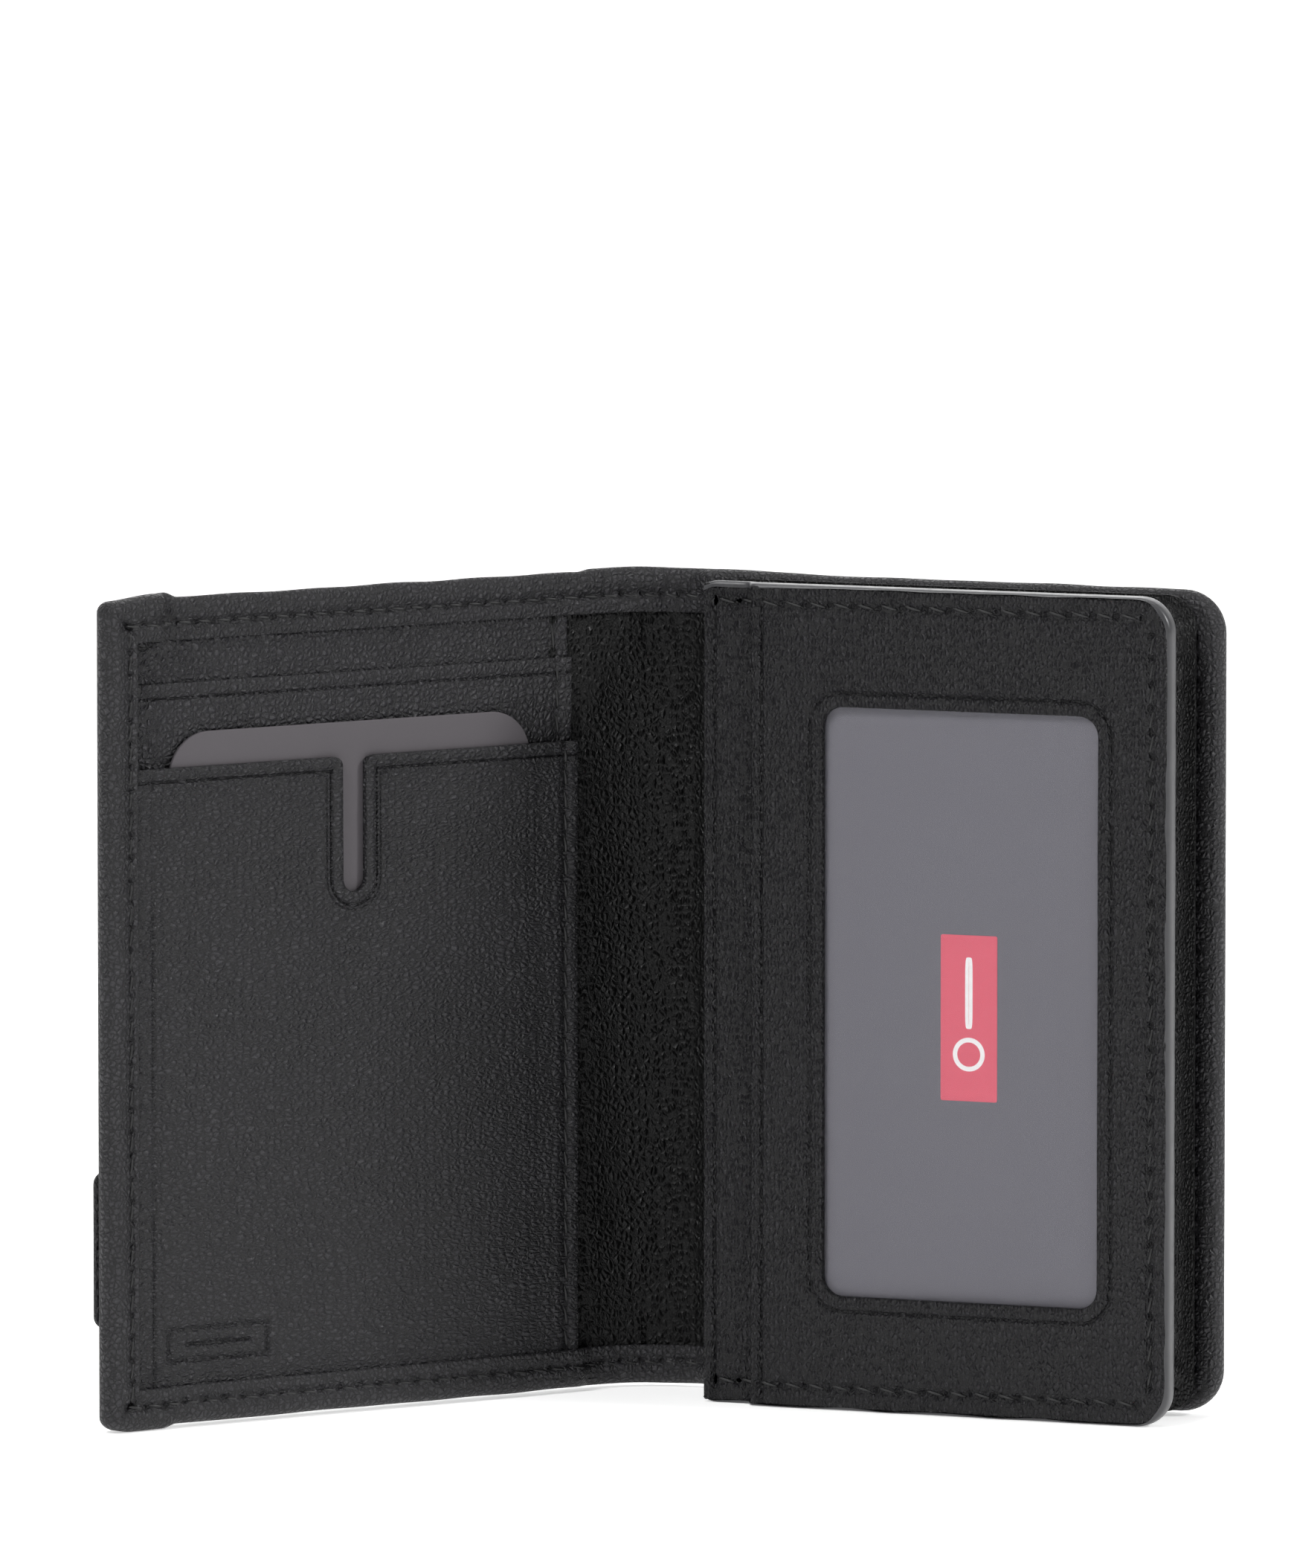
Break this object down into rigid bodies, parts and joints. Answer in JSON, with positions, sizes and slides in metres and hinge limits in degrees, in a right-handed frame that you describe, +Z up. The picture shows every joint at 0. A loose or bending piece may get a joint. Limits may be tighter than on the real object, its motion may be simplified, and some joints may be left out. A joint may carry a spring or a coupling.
{
  "type": "card wallet",
  "caption": "Gusseted black leather card wallet standing open, with a card pocket with a thumb notch in one cover and a clear window panel in front of the other.",
  "frame": {"origin": "centre of the bounding box, on the surface that the wallet stands on", "axes": "+Z up, +X along the back cover from the spine to its free edge, +Y out through the back cover's outer face; the wallet opens towards -Y"},
  "size_m": [0.128, 0.0694, 0.105],
  "materials": {
    "outer_leather": "black pebbled calf leather, semi-matt, slightly worn at the edges",
    "slot_leather": "charcoal fine-grained leather, semi-matt",
    "pocket_leather": "charcoal leather with a short wavy grain, semi-matt",
    "panel_leather": "black smooth-grained leather, soft sheen",
    "lining_leather": "black soft pebbled lining leather, matt",
    "board": "bonded leather board, raw",
    "interlining": "non-woven interlining",
    "thread": "black waxed polyester thread",
    "edge_paint": "dark grey flexible edge paint, satin",
    "clear_film": "thin clear vinyl film, glossy",
    "card_stock": "grey card, matt",
    "insert_stock": "cool grey card, matt",
    "label": "plain red printed label, satin"
  },
  "bodies": {
    "back_cover": {"back_shell": "outer_leather", "back_board": "board", "back_lining": "lining_leather", "back_thread": "thread", "gusset": "lining_leather"},
    "spine": {"spine_shell": "outer_leather", "spine_interlining": "interlining", "spine_lining": "lining_leather", "spine_thread": "thread"},
    "front_cover": {"front_shell": "outer_leather", "front_board": "board", "front_lining": "slot_leather", "upper_slot": "slot_leather", "slot_fabric": "interlining", "lower_pocket": "pocket_leather", "front_thread": "thread", "pocket_thread": "thread", "monogram_patch": "panel_leather", "patch_thread": "thread"},
    "front_card": {"pocket_card": "card_stock"},
    "window_panel": {"panel_backing": "panel_leather", "card_layer": "panel_leather", "window_film": "clear_film", "window_leather": "panel_leather", "edge_paint": "edge_paint", "panel_thread": "thread"},
    "id_card": {"id_insert": "insert_stock", "insert_label": "label"}
  },
  "joints": [
    {"name": "back_fold", "type": "hinge", "parent": "back_cover", "child": "spine", "pos_m": [-0.00751, 0.03353, 0], "axis": [0, 0, -1], "range_deg": [-62.5, 27.5]},
    {"name": "front_fold", "type": "hinge", "parent": "spine", "child": "front_cover", "pos_m": [-0.02064, 0.0267, 0], "axis": [0, 0, -1], "range_deg": [-62.5, 27.5]},
    {"name": "panel_spread", "type": "slide", "parent": "back_cover", "child": "window_panel", "axis": [0, -1, 0], "range_m": [-0.007, 0.0025], "deforming": ["gusset"]},
    {"name": "id_card_slide", "type": "slide", "parent": "window_panel", "child": "id_card", "axis": [-1, 0, 0], "range_m": [0, 0.022]},
    {"name": "pocket_card_slide", "type": "slide", "parent": "front_cover", "child": "front_card", "axis": [0, 0, 1], "range_m": [0, 0.06]}
  ]
}
